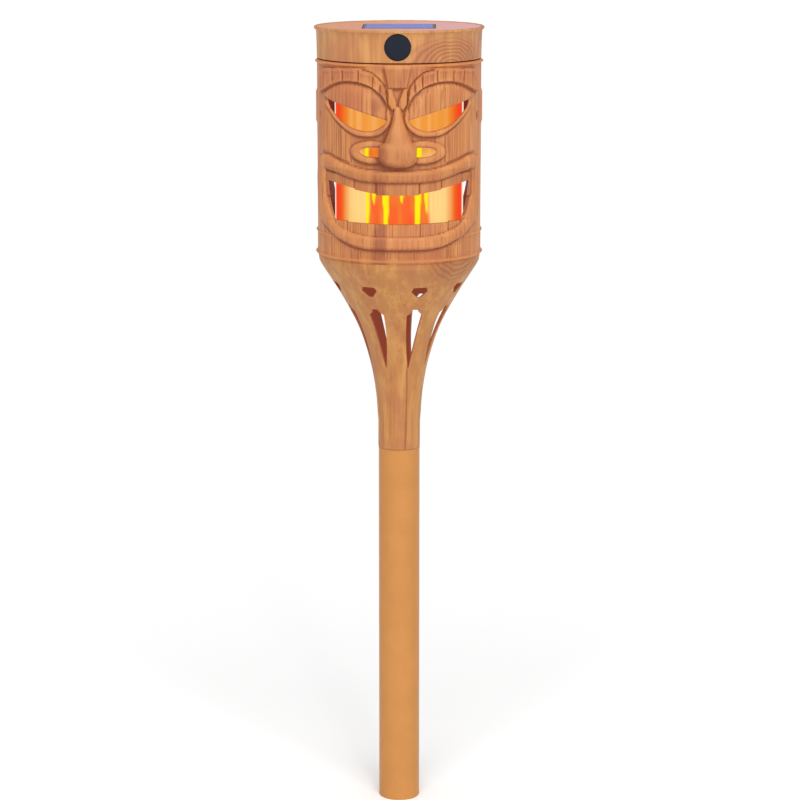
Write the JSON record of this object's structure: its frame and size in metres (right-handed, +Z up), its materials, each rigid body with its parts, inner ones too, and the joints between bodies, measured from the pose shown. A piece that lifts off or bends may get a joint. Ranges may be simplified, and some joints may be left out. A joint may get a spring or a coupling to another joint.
{
  "type": "tiki torch",
  "caption": "Solar garden torch: a carved-mask lantern with a flame lamp in its lift-off solar cap, on a flared neck and plain pole.",
  "frame": {"origin": "centre of the pole's open lower end", "axes": "+Z up the pole, the mask looks toward -Y, +X to the right as seen by someone facing the mask"},
  "size_m": [0.1184, 0.1284, 0.5636],
  "materials": {
    "plastic_woodgrain": "moulded wood-grain finish, satin",
    "plastic_neck": "moulded wood-grain finish, satin",
    "pole_coated_steel": "tan powder coat, satin",
    "inner_plastic": "moulded, matt",
    "black_plastic": "moulded, satin",
    "button_rubber": "matt",
    "seal_rubber": "matt",
    "screw_steel": "zinc plated",
    "solar_cell": "dark blue crystalline",
    "panel_cover": "clear epoxy",
    "board_green": "solder mask",
    "board_black": "solder mask",
    "flex_board": "polyimide film",
    "chip_epoxy": "moulded epoxy",
    "copper_part": "enamelled winding",
    "contact_steel": "nickel plated spring steel",
    "battery_wrap": "shrink sleeve",
    "diffuser": "frosted, lit by the flame lamp",
    "led_package": "amber lens",
    "wire_sleeve": "silicone sleeve"
  },
  "bodies": {
    "pole": {"pole_tube": "pole_coated_steel"},
    "head": {"neck_basket": "plastic_neck", "face_shell_front": "plastic_woodgrain", "face_shell_back": "plastic_woodgrain", "top_collar": "inner_plastic", "base_tray": "inner_plastic", "tray_screws": "screw_steel"},
    "solar_unit": {"cap_shell": "plastic_woodgrain", "cap_base": "inner_plastic", "cap_screws": "screw_steel", "cap_seal": "seal_rubber", "panel_board": "board_black", "solar_cells": "solar_cell", "panel_cover": "panel_cover", "switch_body": "black_plastic", "switch_board": "board_green", "switch_bracket": "inner_plastic", "main_board": "board_green", "board_screws": "screw_steel", "controller_chip": "chip_epoxy", "boost_inductor": "copper_part", "filter_capacitor": "contact_steel", "battery_cell": "battery_wrap", "battery_cradle": "black_plastic", "positive_contact": "contact_steel", "negative_spring": "contact_steel", "led_core": "black_plastic", "core_plug": "black_plastic", "led_flex_board": "flex_board", "leds": "led_package", "flame_diffuser": "diffuser", "diffuser_floor": "diffuser", "panel_leads": "wire_sleeve", "led_leads": "wire_sleeve", "switch_leads": "wire_sleeve"},
    "button": {"power_button": "button_rubber", "button_clip": "black_plastic"},
    "plunger": {"switch_plunger": "black_plastic"}
  },
  "joints": [
    {"name": "head_turn", "type": "hinge", "parent": "pole", "child": "head", "pos_m": [0, 0, 0.264], "axis": [0, 0, 1], "continuous": true},
    {"name": "cap_lift", "type": "slide", "parent": "head", "child": "solar_unit", "axis": [0, 0, 1], "range_m": [0, 0.15]},
    {"name": "button_press", "type": "slide", "parent": "solar_unit", "child": "button", "axis": [0, 1, 0], "range_m": [0, 0.0012], "stiffness_N_per_m": 1500},
    {"name": "plunger_press", "type": "slide", "parent": "solar_unit", "child": "plunger", "axis": [0, 1, 0], "range_m": [0, 0.0012]}
  ],
  "couplings": [
    {"joint": "plunger_press", "follows": "button_press", "ratio": 1}
  ]
}
